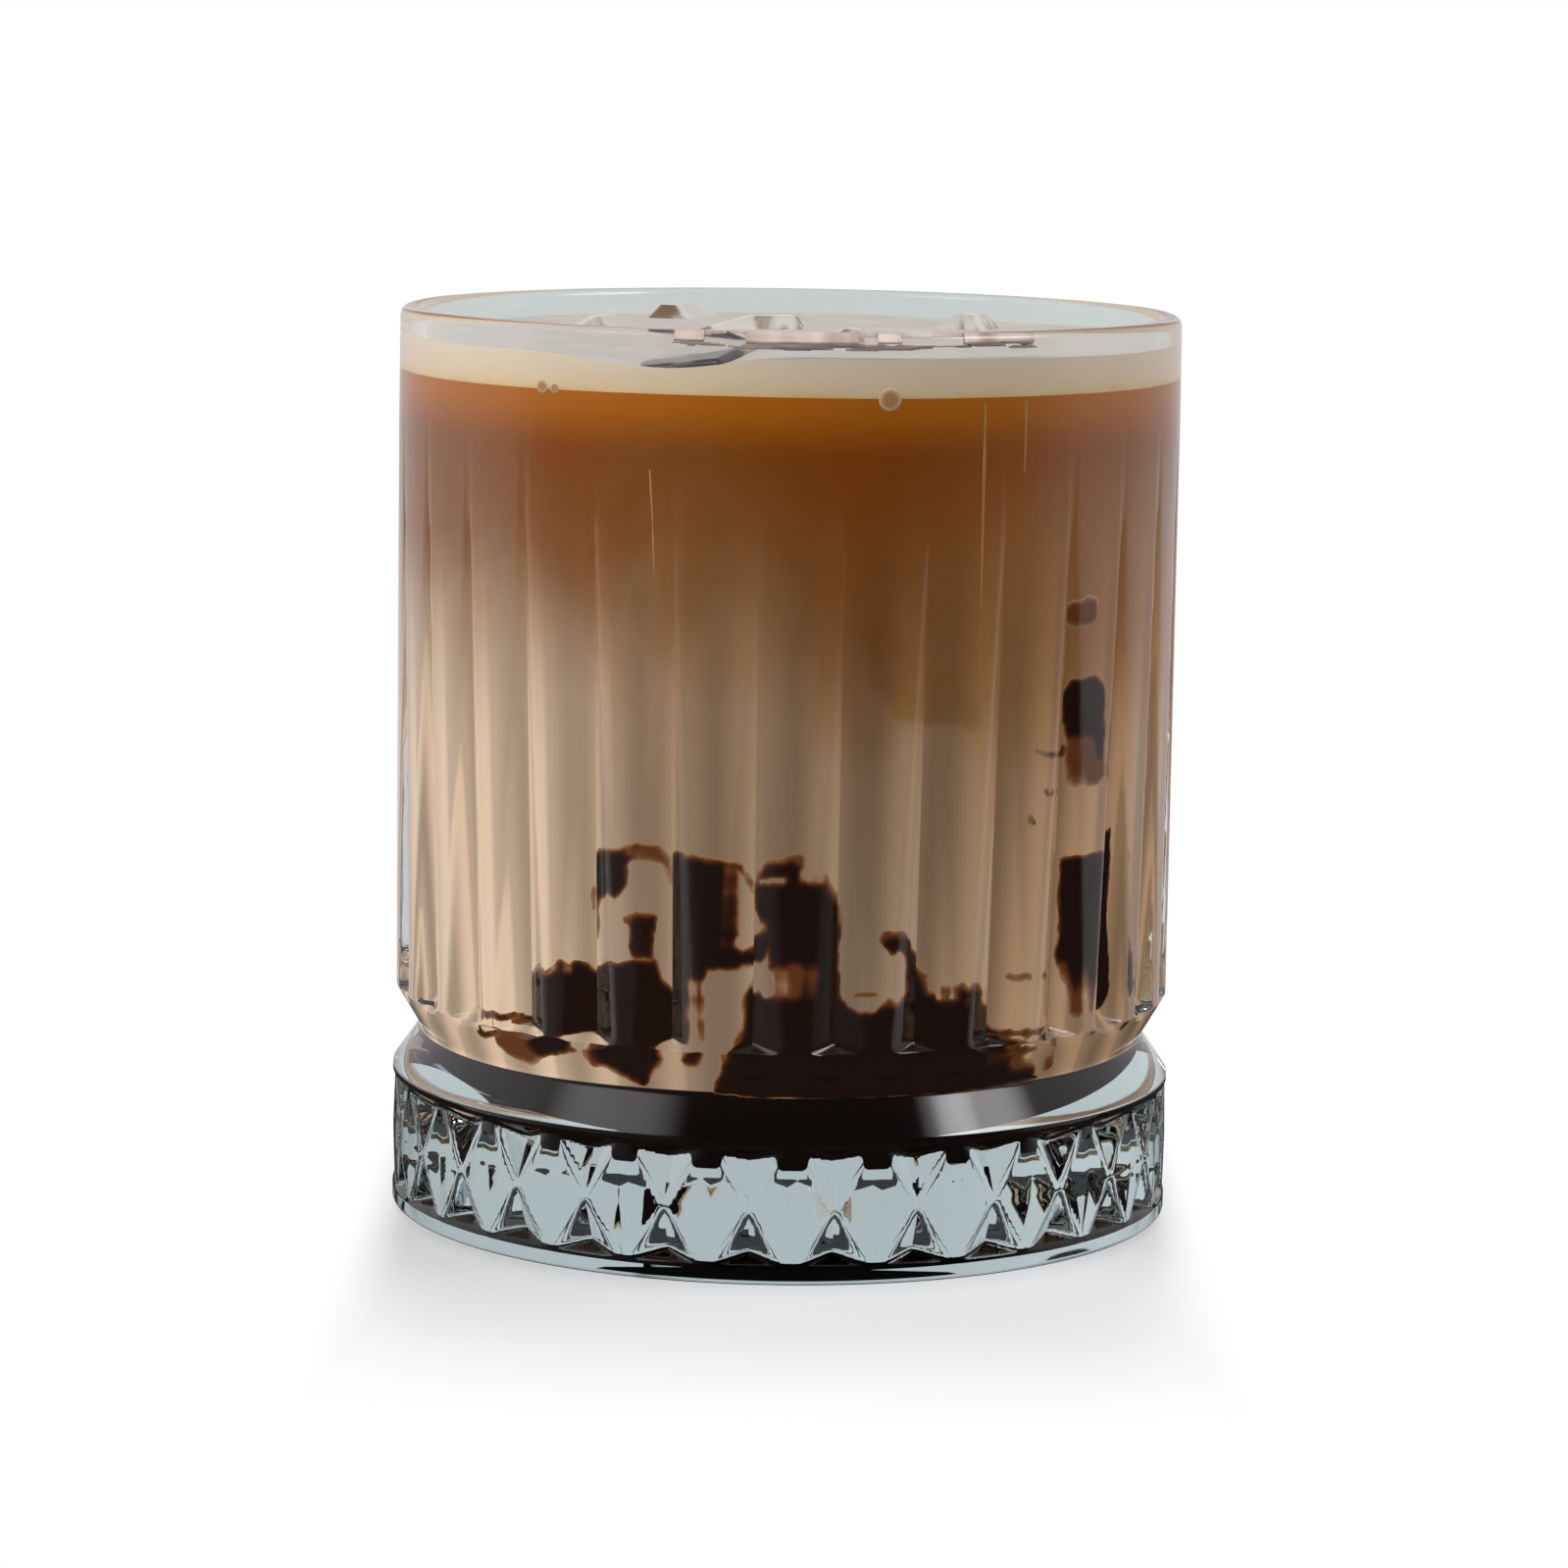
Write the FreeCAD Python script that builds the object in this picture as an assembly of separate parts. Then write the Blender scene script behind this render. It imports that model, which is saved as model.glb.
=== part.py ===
"""Glass of iced mocha: a pressed tumbler with fluted sides and a starred foot,
holding chocolate syrup, milk, coffee and foam in layers, with ice cubes that
break the surface.

Millimetres. +Z is up and the origin is on the table, under the middle of the
glass. Angles are in degrees round +Z, and FRONT is the side that faces -Y.
"""
import FreeCAD
import Part

import math
import os

from FreeCAD import Placement, Rotation, Vector

# ---------------------------------------------------------------- tumbler
HEIGHT = 96.2            # table to the top of the lip
BODY_RADIUS = 41.5       # at the shoulder, where the fluted body is widest
RIM_SETBACK = 0.1        # how much narrower the body is at the rim
FOOT_FLARE = 0.3         # how far the foot stands out past the shoulder
WAIST_DEPTH = 2.7        # how far the groove above the foot cuts in

FOOT_TOP = 14.9          # lower edge of the waist groove
WAIST_RISE = 4.3         # from there to the bottom of the groove
SHOULDER_RISE = 4.5      # and from there to the shoulder

RIM_WALL = 2.2           # glass thickness at the rim
LOWER_WALL = 8.2         # glass thickness where the cavity starts to round in
BASE = 9.8               # glass under the cavity
CAVITY_CORNER = 7.0      # radius between the cavity's wall and its floor
LIP_FLAT = 0.1           # flat left on top of the rounded lip

FOOT_EDGE = 0.5          # rounding of the foot's bottom edge
STANDING_RING = 5.0      # width of the ring that the glass stands on
DOME_RISE = 0.1          # height of the shallow dome inside that ring
FOOT_TOP_ROUNDING = 0.3
WAIST_ROUNDING = 1.0
SHOULDER_ROUNDING = 0.2

# ----------------------------------------------------------------- flutes
REPEATS = 30             # flutes round the body, and stars round the foot
FRONT = -90.0
PATTERN_TURN = -4.0      # the flute nearest the front is this far to its left
FLUTE_DEPTH = 2.0        # at the shoulder; it fades to nothing at the top
FLUTE_HALF_WIDTH = 3.3
FLUTE_TOP_GAP = 12.0     # plain glass between the flutes' tips and the rim
FLANK_BULGE = 0.15       # how far each flank swells, as a part of the depth
LEDGE_RISE = 1.9         # height of the rounded ledge that ends each flute
LEDGE_REACH = 1.3        # how far in it goes, as a part of the flute's depth

# ------------------------------------------------------------- foot's stars
# Each star is two V grooves, one up and one down from its middle, that widen
# and deepen away from it and end in a slanting wall. Flat facets lie between.
STAR_HEIGHT = 7.8        # table to the middles of the stars
BAND_LOW = 1.9           # where the lower grooves' walls start
BAND_HIGH = 14.2         # where the upper grooves' walls start
GROOVE_SLOPE = 20.0      # tilt of a groove's deepest line, in degrees
WALL_SLOPE = 54.0        # tilt of the wall that ends it, in degrees
SPREAD_UP = 0.64         # half-width of an upper groove, for each mm up
SPREAD_DOWN = 0.70       # and of a lower groove, for each mm down
FACET_SET_IN = 0.15      # how far the flat facets lean in at the band's edges
CUTTER_MARGIN = 0.6      # how far a cutter stands out of the glass

# ------------------------------------------------------------------ drink
FOAM_GAP = 2.7           # from the lip down to the foam
FOAM_DEPTH = 3.9
COFFEE_DEPTH = 31.0
SYRUP_DEPTH = 8.2        # above the cavity's floor, in the middle

# Surfaces between layers: slope across the glass, and the height of waves.
FOAM_SLOPE, FOAM_WAVE = 0.0, 0.25
COFFEE_TOP_SLOPE, COFFEE_TOP_WAVE = 0.001, 0.08
COFFEE_FLOOR_SLOPE, COFFEE_FLOOR_WAVE = -0.08, 1.6
SYRUP_SLOPE, SYRUP_WAVE = 0.01, 0.8
DIP_DEPTH = 1.5          # foam pushed down in front of the ice at the front
DIP_RADIUS = 9.0
SHEET_CELLS = 12         # spans of each layer surface along X and along Y

# -------------------------------------------------------------------- ice
ICE_EDGE = 14.0
ICE_ROUNDING = 0.7
ICE_WALL_GAP = 0.9       # between the cube at the front and the glass
FRONT_ICE_TURN = -19.0   # that cube's place, from the front
FRONT_ICE_DROP = 3.1     # from the lip to the middle of that cube's top

# The other cubes float with an edge or a corner up: place as parts of the
# cavity's radius, drop from the lip to the tip, turn about the upright, the
# cube's own direction that points up, and its length as a part of ICE_EDGE.
FLOATING_ICE = [
    (-0.52, 0.06, 0.4, 205, (1.0, 0.90, 0.30), 0.90),
    (-0.33, 0.60, 0.4, 20, (1.0, 0.90, 0.30), 0.85),
    (-0.02, 0.18, 0.1, 160, (1.0, 0.95, 0.35), 0.90),
    (0.15, -0.38, 0.6, 30, (1.0, 1.00, 0.80), 0.80),
    (0.51, 0.38, 0.2, 5, (1.0, 0.90, 0.75), 0.95),
]

# ------------------------------------------------------------ worked out
FOOT_RADIUS = BODY_RADIUS + FOOT_FLARE
RIM_RADIUS = BODY_RADIUS - RIM_SETBACK
WAIST_RADIUS = BODY_RADIUS - WAIST_DEPTH
WAIST_HEIGHT = FOOT_TOP + WAIST_RISE
SHOULDER = WAIST_HEIGHT + SHOULDER_RISE
FLUTE_TOP = HEIGHT - FLUTE_TOP_GAP
PITCH = 360.0 / REPEATS

CAVITY_RIM_RADIUS = RIM_RADIUS - RIM_WALL
CAVITY_FLOOR_RADIUS = BODY_RADIUS - LOWER_WALL
FOAM_TOP = HEIGHT - FOAM_GAP
COFFEE_TOP = FOAM_TOP - FOAM_DEPTH
COFFEE_FLOOR = COFFEE_TOP - COFFEE_DEPTH
SYRUP_TOP = BASE + SYRUP_DEPTH

AXIS = Vector(0, 0, 1)
ORIGIN = Vector(0, 0, 0)


# ---------------------------------------------------------------- helpers
def polar(angle, radius, height):
    """A point given by its angle round the glass, radius and height."""
    turn = math.radians(angle)
    return Vector(radius * math.cos(turn), radius * math.sin(turn), height)


def rounded_profile(corners):
    """Closed outline in the XZ plane from (radius, height, rounding) corners."""
    points = [Vector(radius, 0, height) for radius, height, _ in corners]
    starts, ends, edges = [], [], []
    for i, corner in enumerate(points):
        to_last = points[i - 1] - corner
        to_next = points[(i + 1) % len(points)] - corner
        rounding = corners[i][2]
        if not rounding:
            starts.append(corner)
            ends.append(corner)
            continue
        half = to_last.getAngle(to_next) / 2
        setback = rounding / math.tan(half)
        to_last.normalize()
        to_next.normalize()
        starts.append(corner + to_last * setback)
        ends.append(corner + to_next * setback)
        inward = (to_last + to_next).normalize()
        middle = corner + inward * (rounding / math.sin(half) - rounding)
        edges.append(Part.Arc(starts[i], middle, ends[i]).toShape())
    for i, end in enumerate(ends):
        edges.append(Part.LineSegment(end, starts[(i + 1) % len(points)]).toShape())
    return Part.Wire(Part.__sortEdges__(edges))


def revolved(corners):
    """Solid of revolution about Z of a rounded outline."""
    return Part.Face(rounded_profile(corners)).revolve(ORIGIN, AXIS, 360)


def around(shape, count):
    """Compound of `count` copies of a shape, spaced evenly about Z."""
    copies = []
    for i in range(count):
        copy = shape.copy()
        copy.rotate(ORIGIN, AXIS, i * 360.0 / count)
        copies.append(copy)
    return Part.makeCompound(copies)


def single_solid(shape):
    """The largest solid of a boolean's result, without loose splinters."""
    return max(shape.Solids, key=lambda solid: solid.Volume)


# ------------------------------------------------------------------ glass
def plain_tumbler():
    lip = (RIM_WALL - LIP_FLAT) / 2
    body = revolved([
        (0, 0, 0),
        (FOOT_RADIUS, 0, FOOT_EDGE),
        (FOOT_RADIUS, FOOT_TOP, FOOT_TOP_ROUNDING),
        (WAIST_RADIUS, WAIST_HEIGHT, WAIST_ROUNDING),
        (BODY_RADIUS, SHOULDER, SHOULDER_ROUNDING),
        (RIM_RADIUS, HEIGHT, lip),
        (CAVITY_RIM_RADIUS, HEIGHT, lip),
        (CAVITY_FLOOR_RADIUS, BASE, CAVITY_CORNER),
        (0, BASE, 0),
    ])
    ring_inside = FOOT_RADIUS - STANDING_RING
    dome_radius = (ring_inside ** 2 + DOME_RISE ** 2) / (2 * DOME_RISE)
    dome = Part.makeSphere(dome_radius, Vector(0, 0, DOME_RISE - dome_radius))
    return body.cut(dome)


def flute_cutter():
    """V groove with swelling flanks, lifted off the glass towards its top and
    ended at the bottom by a rounded ledge. It is centred on +X."""
    crease = BODY_RADIUS - FLUTE_DEPTH
    edge = math.sqrt(BODY_RADIUS ** 2 - FLUTE_HALF_WIDTH ** 2)
    outside = BODY_RADIUS + 2 * FLUTE_DEPTH
    flank = (crease + edge) / 2 + FLANK_BULGE * FLUTE_DEPTH
    flare = FLUTE_HALF_WIDTH + 2 * FLUTE_DEPTH
    low = Vector(crease, 0, SHOULDER)

    def at(radius, across):
        return Vector(radius, across, SHOULDER)

    side = FLUTE_HALF_WIDTH
    edges = [
        Part.Arc(low, at(flank, side / 2), at(edge, side)).toShape(),
        Part.LineSegment(at(edge, side), at(outside, flare)).toShape(),
        Part.LineSegment(at(outside, flare), at(outside, -flare)).toShape(),
        Part.LineSegment(at(outside, -flare), at(edge, -side)).toShape(),
        Part.Arc(at(edge, -side), at(flank, -side / 2), low).toShape(),
    ]
    top = Vector(RIM_RADIUS, 0, FLUTE_TOP)
    past_the_top = 1.1
    groove = Part.Face(Part.Wire(edges)).extrude((top - low) * past_the_top)
    return groove.cut(ledge_ring())


def ledge_ring():
    """Ring whose rounded upper edge is the ledge at the foot of each flute."""
    reach = LEDGE_REACH * FLUTE_DEPTH
    inner = BODY_RADIUS - 3 * reach
    bottom = SHOULDER - LEDGE_RISE
    top = SHOULDER + LEDGE_RISE
    start = Vector(BODY_RADIUS, 0, SHOULDER)
    middle = Vector(BODY_RADIUS - 0.25 * reach, 0, SHOULDER + 0.65 * LEDGE_RISE)
    end = Vector(BODY_RADIUS - reach, 0, top)
    edges = [
        Part.Arc(start, middle, end).toShape(),
        Part.LineSegment(end, Vector(inner, 0, top)).toShape(),
        Part.LineSegment(Vector(inner, 0, top), Vector(inner, 0, bottom)).toShape(),
        Part.LineSegment(Vector(inner, 0, bottom), Vector(BODY_RADIUS, 0, bottom)).toShape(),
        Part.LineSegment(Vector(BODY_RADIUS, 0, bottom), start).toShape(),
    ]
    return Part.Face(Part.Wire(edges)).revolve(ORIGIN, AXIS, 360)


def facet_drum():
    """Drum with two rows of flat facets, which meet in a ridge at the height
    of the stars' middles."""
    rows = [(BAND_LOW, FACET_SET_IN), (STAR_HEIGHT, 0), (BAND_HIGH, FACET_SET_IN)]

    def corner(row, step):
        height, set_in = rows[row]
        return polar(step * PITCH / 2, FOOT_RADIUS - set_in, height)

    def flat_face(corners):
        return Part.Face(Part.makePolygon([*corners, corners[0]]))

    faces = []
    for step in range(2 * REPEATS):
        for row in (0, 1):
            faces.append(flat_face([corner(row, step), corner(row, step + 1),
                                    corner(row + 1, step + 1), corner(row + 1, step)]))
    for row in (0, 2):
        faces.append(flat_face([corner(row, step) for step in range(2 * REPEATS)]))
    return Part.Solid(Part.makeShell(faces))


def groove_cutter(wall_height, spread):
    """Tetrahedron that cuts a star's groove, towards a wall that starts at the
    given height. It is centred on +X."""
    run = abs(wall_height - STAR_HEIGHT)
    way = math.copysign(1, wall_height - STAR_HEIGHT)
    slope = math.tan(math.radians(GROOVE_SLOPE))
    wall = math.tan(math.radians(WALL_SLOPE))
    deepest = wall * run / (wall + slope)
    end = run + CUTTER_MARGIN / wall
    start = -CUTTER_MARGIN / slope
    half_width = spread * (end - start)
    outside = FOOT_RADIUS + CUTTER_MARGIN

    def at(radius, across, away):
        return Vector(radius, across, STAR_HEIGHT + way * away)

    bottom = at(FOOT_RADIUS - slope * deepest, 0, deepest)
    tip = at(outside, 0, start)
    left, right = at(outside, -half_width, end), at(outside, half_width, end)
    sides = [(tip, left, right), (tip, left, bottom), (left, right, bottom), (right, tip, bottom)]
    faces = [Part.Face(Part.makePolygon([*side, side[0]])) for side in sides]
    return Part.Solid(Part.makeShell(faces))


def glass():
    band = BAND_HIGH - BAND_LOW
    blank = Part.makeCylinder(FOOT_RADIUS + CUTTER_MARGIN, band, Vector(0, 0, BAND_LOW))
    cutters = [
        around(flute_cutter(), REPEATS),
        blank.cut(facet_drum()),
        around(groove_cutter(BAND_HIGH, SPREAD_UP), REPEATS),
        around(groove_cutter(BAND_LOW, SPREAD_DOWN), REPEATS),
    ]
    tumbler = plain_tumbler()
    for cutter in cutters:
        cutter.rotate(ORIGIN, AXIS, FRONT + PATTERN_TURN)
        tumbler = tumbler.cut(cutter)
    return single_solid(tumbler)


# ------------------------------------------------------------------ drink
def cavity_radius(height):
    """Radius of the cavity's straight wall at a height."""
    share = (height - BASE) / (HEIGHT - BASE)
    return CAVITY_FLOOR_RADIUS + share * (CAVITY_RIM_RADIUS - CAVITY_FLOOR_RADIUS)


def cavity():
    """Everything inside the glass, up to the lip."""
    top = HEIGHT - RIM_WALL / 2
    return revolved([
        (0, BASE, 0),
        (CAVITY_FLOOR_RADIUS, BASE, CAVITY_CORNER),
        (cavity_radius(top), top, 0),
        (0, top, 0),
    ])


def front_ice_place():
    """Middle of the cube at the front, as an angle and a radius."""
    inner = cavity_radius(FOAM_TOP)
    return FRONT + FRONT_ICE_TURN, inner - ICE_WALL_GAP - ICE_EDGE / 2


def wave(x, y, span):
    """Slow uneven ripple, between about -1 and 1, over a given span."""
    u, v = 2 * math.pi * x / span, 2 * math.pi * y / span
    return 0.5 * math.cos(u + 0.6) + 0.35 * math.cos(v - 1.1) + 0.25 * math.cos(1.3 * u + v)


def under_sheet(level, slope, height, dip=0.0):
    """Everything below a wavy, sloping surface that is wider than the glass."""
    reach = BODY_RADIUS + 5
    angle, radius = front_ice_place()
    hollow = polar(angle, radius + ICE_EDGE / 2, 0)

    def point(i, j):
        x = reach * (2.0 * i / SHEET_CELLS - 1)
        y = reach * (2.0 * j / SHEET_CELLS - 1)
        away = math.hypot(x - hollow.x, y - hollow.y) / DIP_RADIUS
        ripple = height * wave(x, y, 1.3 * BODY_RADIUS)
        return Vector(x, y, level + slope * x + ripple - dip * math.exp(-away ** 2))

    count = SHEET_CELLS + 1
    grid = [[point(i, j) for j in range(count)] for i in range(count)]
    surface = Part.BSplineSurface()
    surface.interpolate(grid)
    return surface.toShape().extrude(Vector(0, 0, -2 * HEIGHT))


def rounded_block(edge, length):
    block = Part.makeBox(edge, edge, length, Vector(-edge / 2, -edge / 2, -length / 2))
    return block.makeFillet(ICE_ROUNDING, block.Edges)


def seated(block, x, y, top):
    """The block moved so that its highest point lies at (x, y, top)."""
    corners = [vertex.Point for vertex in block.Vertexes]
    highest = max(corners, key=lambda point: point.z)
    block.translate(Vector(x, y, top) - highest)
    return block


def floating_ice(across, along, drop, turn, upward, stretch):
    block = rounded_block(ICE_EDGE, ICE_EDGE * stretch)
    tipped = Rotation(Vector(*upward), AXIS)
    block.Placement = Placement(ORIGIN, Rotation(AXIS, turn) * tipped)
    radius = cavity_radius(FOAM_TOP)
    return seated(block, across * radius, along * radius, HEIGHT - drop)


def front_ice():
    """Cube lying almost flat behind the foam at the front of the glass."""
    angle, radius = front_ice_place()
    block = rounded_block(ICE_EDGE, ICE_EDGE)
    lean = Rotation(Vector(1, 0.6, 0), 9)
    block.Placement = Placement(ORIGIN, Rotation(AXIS, angle) * lean)
    block.translate(polar(angle, radius, HEIGHT - FRONT_ICE_DROP - ICE_EDGE / 2))
    return block


def ice_cubes(inside):
    """Every cube, kept inside the glass and clear of the ones before it."""
    cubes = []
    for block in [front_ice()] + [floating_ice(*row) for row in FLOATING_ICE]:
        block = block.common(inside)
        for other in cubes:
            block = block.cut(other)
        cubes.append(single_solid(block))
    return cubes


def drink_layers(inside, cubes):
    """Syrup, milk, coffee and foam, from the bottom up, cut round the ice."""
    under_syrup = under_sheet(SYRUP_TOP, SYRUP_SLOPE, SYRUP_WAVE)
    under_milk = under_sheet(COFFEE_FLOOR, COFFEE_FLOOR_SLOPE, COFFEE_FLOOR_WAVE)
    under_coffee = under_sheet(COFFEE_TOP, COFFEE_TOP_SLOPE, COFFEE_TOP_WAVE)
    under_foam = under_sheet(FOAM_TOP, FOAM_SLOPE, FOAM_WAVE, DIP_DEPTH)
    ice = Part.makeCompound(cubes)
    return {
        "chocolate_syrup": inside.common(under_syrup),
        "milk": inside.common(under_milk).cut(under_syrup),
        "coffee": inside.common(under_coffee).cut(under_milk).cut(ice),
        "milk_foam": inside.common(under_foam).cut(under_coffee).cut(ice),
    }


# ------------------------------------------------------------------ build
def main():
    inside = cavity()
    cubes = ice_cubes(inside)
    nodes = {"tumbler": glass()}
    for name, layer in drink_layers(inside, cubes).items():
        nodes[name] = single_solid(layer)
    for i, cube in enumerate(cubes):
        nodes["ice_cube_%d" % (i + 1)] = cube

    os.makedirs("parts", exist_ok=True)
    for name, solid in nodes.items():
        solid.exportStep("parts/%s.step" % name)
        print("%-16s %9.1f mm3  valid %s" % (name, solid.Volume, solid.isValid()))


main()
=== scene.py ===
"""Looks of the glass of iced mocha: clear pressed glass round milky coffee with
foam, chocolate syrup and ice, in a plain white studio.

Blender works in metres, +Z up. Sizes here are millimetres and go through MM;
angles on the glass are degrees from its front, which faces -Y, towards +X."""

import math

import bpy
import numpy as np
from mathutils import Matrix, Vector


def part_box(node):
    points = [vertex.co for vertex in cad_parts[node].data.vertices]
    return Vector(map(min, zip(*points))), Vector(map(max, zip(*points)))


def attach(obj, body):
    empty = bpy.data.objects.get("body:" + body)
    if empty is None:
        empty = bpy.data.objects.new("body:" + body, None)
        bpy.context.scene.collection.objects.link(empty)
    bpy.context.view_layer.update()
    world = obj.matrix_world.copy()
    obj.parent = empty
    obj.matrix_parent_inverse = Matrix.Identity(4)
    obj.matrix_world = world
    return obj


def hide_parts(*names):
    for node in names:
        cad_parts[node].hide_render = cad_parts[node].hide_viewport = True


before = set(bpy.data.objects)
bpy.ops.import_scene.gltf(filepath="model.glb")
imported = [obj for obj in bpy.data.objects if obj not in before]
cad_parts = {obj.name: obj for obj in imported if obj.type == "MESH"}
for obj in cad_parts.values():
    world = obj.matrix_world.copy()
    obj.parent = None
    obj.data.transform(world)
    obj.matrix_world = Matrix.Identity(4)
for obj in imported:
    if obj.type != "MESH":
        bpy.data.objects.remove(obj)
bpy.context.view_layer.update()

MM = 0.001

# ------------------------------------------------------------ glass sizes
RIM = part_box("tumbler")[1].z / MM
FOOT_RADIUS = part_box("tumbler")[1].x / MM
BODY_RADIUS = FOOT_RADIUS - 0.3
RIM_RADIUS = BODY_RADIUS - 0.1
WAIST_RADIUS = BODY_RADIUS - 2.7
FOOT_TOP = 14.9
WAIST = FOOT_TOP + 4.3
SHOULDER = WAIST + 4.5
RIM_WALL = 2.2
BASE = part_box("chocolate_syrup")[0].z / MM
CAVITY_LOW_RADIUS = BODY_RADIUS - 8.2      # where the wall would meet the floor
CAVITY_RIM_RADIUS = RIM_RADIUS - RIM_WALL
CAVITY_CORNER = 7.0
DOME_RADIUS, DOME_RISE = FOOT_RADIUS - 5.0, 0.1
FOOT_EDGE, FOOT_TOP_EDGE, WAIST_EDGE, SHOULDER_EDGE = 0.5, 0.3, 1.0, 0.35

REPEATS = 30
PITCH = 360.0 / REPEATS
PATTERN_TURN = -4.0            # angle of the flute nearest the front
FLUTE_TOP = RIM - 12.0
FLUTE_DEPTH, FLUTE_HALF_WIDTH = 2.0, 3.3
STAR_HEIGHT, BAND_LOW, BAND_HIGH = 7.8, 1.9, 14.2
SPREAD_UP, SPREAD_DOWN = 0.64, 0.70     # half-width of a star for its height
GROOVE_SLOPE, WALL_SLOPE = 20, 54       # degrees
FACET_SET_IN = 0.15

# ------------------------------------------------------------ drink sizes
FOAM_TOP = RIM - 2.7
COFFEE_TOP = FOAM_TOP - 3.9
COFFEE_FLOOR = COFFEE_TOP - 31.0
SYRUP_TOP = BASE + 8.2
POOL_WALL_HEIGHT = 17.2        # the pool's rounded foot ends below this
INTO_WALL = 0.15               # how far the drink reaches into the glass
FRONT_ICE_TURN, FRONT_ICE_GAP = -19.0, 0.9
DIP_REACH = 9.0                # size of the dip in the foam at that ice


# -------------------------------------------------------- shaping helpers
SUPPORT = 0.04                 # rows this near a rounding keep shading off flats
MM_PER_DEGREE = math.radians(1)    # times a radius


def soft_max(a, b, width):
    """Larger of two fields, rounded where they cross."""
    share = np.clip(0.5 + 0.5 * (a - b) / width, 0, 1)
    return b + (a - b) * share + width * share * (1 - share)


def soft_min(a, b, width):
    return -soft_max(-a, -b, width)


def smooth_step(low, high, value):
    share = np.clip((value - low) / (high - low), 0, 1)
    return share * share * (3 - 2 * share)


def value_noise(u, v, seed):
    """Smooth noise between 0 and 1 on a lattice of whole numbers."""
    lattice = np.random.default_rng(seed).random((64, 64))
    column, row = np.floor(u).astype(int), np.floor(v).astype(int)
    across, along = u - column, v - row
    across, along = across * across * (3 - 2 * across), along * along * (3 - 2 * along)

    def corner(i, j):
        return lattice[(column + i) % 64, (row + j) % 64]

    near = corner(0, 0) * (1 - across) + corner(1, 0) * across
    far = corner(0, 1) * (1 - across) + corner(1, 1) * across
    return near * (1 - along) + far * along


def layered_noise(u, v, seed, layers=3):
    """Sum of finer and finer noise, about -1 to 1."""
    total, weight = 0, 0
    for layer in range(layers):
        size = 2 ** layer
        total = total + (2 * value_noise(u * size, v * size, seed + layer) - 1) / size
        weight += 1 / size
    return total / weight


def rounded_line(corners, arc_step=12.0):
    """Points (radius, height) along an open outline of (radius, height,
    rounding, longest span) corners."""
    spots = np.array([corner[:2] for corner in corners], float)
    line = [spots[0]]

    def go_to(end, span):
        start = line[-1]
        count = max(1, int(math.ceil(np.linalg.norm(end - start) / span)))
        line.extend(start + (end - start) * i / count for i in range(1, count + 1))

    for i in range(1, len(corners)):
        rounding, span = corners[i][2], corners[i][3]
        if not rounding:
            go_to(spots[i], span)
            continue
        back, ahead = spots[i - 1] - spots[i], spots[i + 1] - spots[i]
        back, ahead = back / np.linalg.norm(back), ahead / np.linalg.norm(ahead)
        half = math.acos(np.clip(back @ ahead, -1, 1)) / 2
        inward = (back + ahead) / np.linalg.norm(back + ahead)
        centre = spots[i] + inward * rounding / math.sin(half)
        first = spots[i] + back * rounding / math.tan(half)
        last = spots[i] + ahead * rounding / math.tan(half)
        go_to(first, span)
        line.insert(-1, first + back * SUPPORT)
        a, b = first - centre, last - centre
        sweep = math.pi - 2 * half
        turns = max(2, int(math.ceil(math.degrees(sweep) / arc_step)))
        for k in range(1, turns + 1):
            share = k / turns
            spread = a * math.sin((1 - share) * sweep) + b * math.sin(share * sweep)
            line.append(centre + spread / math.sin(sweep))
        line.append(last + ahead * SUPPORT)
    return np.array(line)


def lathe(name, rows, bottom_centre, top_centre):
    """Closed ring mesh whose first and last rows are drawn to a point."""
    height, width, _ = rows.shape
    points = [bottom_centre, *rows.reshape(-1, 3).tolist(), top_centre]
    index = 1 + np.arange(height * width).reshape(height, width)
    right = np.roll(index, -1, axis=1)
    quads = np.stack([index[:-1], right[:-1], right[1:], index[1:]], axis=-1)
    quads = quads.reshape(-1, 4).tolist()
    last = len(points) - 1
    quads += [(0, int(b), int(a)) for a, b in zip(index[0], right[0])]
    quads += [(last, int(a), int(b)) for a, b in zip(index[-1], right[-1])]
    mesh = bpy.data.meshes.new(name)
    mesh.from_pydata((np.array(points) * MM).tolist(), [], quads)
    return mesh


def on_glass(angle, radius, height):
    """Points for angles from the front, radii and heights."""
    turn = np.radians(angle)
    spots = np.broadcast_arrays(radius * np.sin(turn), -radius * np.cos(turn), height)
    return np.stack(spots, -1)


def new_piece(name, mesh, slot, replaced=(), sharp=None):
    piece = bpy.data.objects.new(name, mesh)
    bpy.context.collection.objects.link(piece)
    mesh.shade_smooth()
    if sharp:
        mesh.set_sharp_from_angle(angle=math.radians(sharp))
    if replaced:
        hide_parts(*replaced)
    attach(piece, "root")
    return piece


# ------------------------------------------------------------------ glass
FLUTE_STEPS = 18               # columns of mesh for each flute and star
CREASE = 0.02                  # rounding of creases, in mm across


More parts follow.
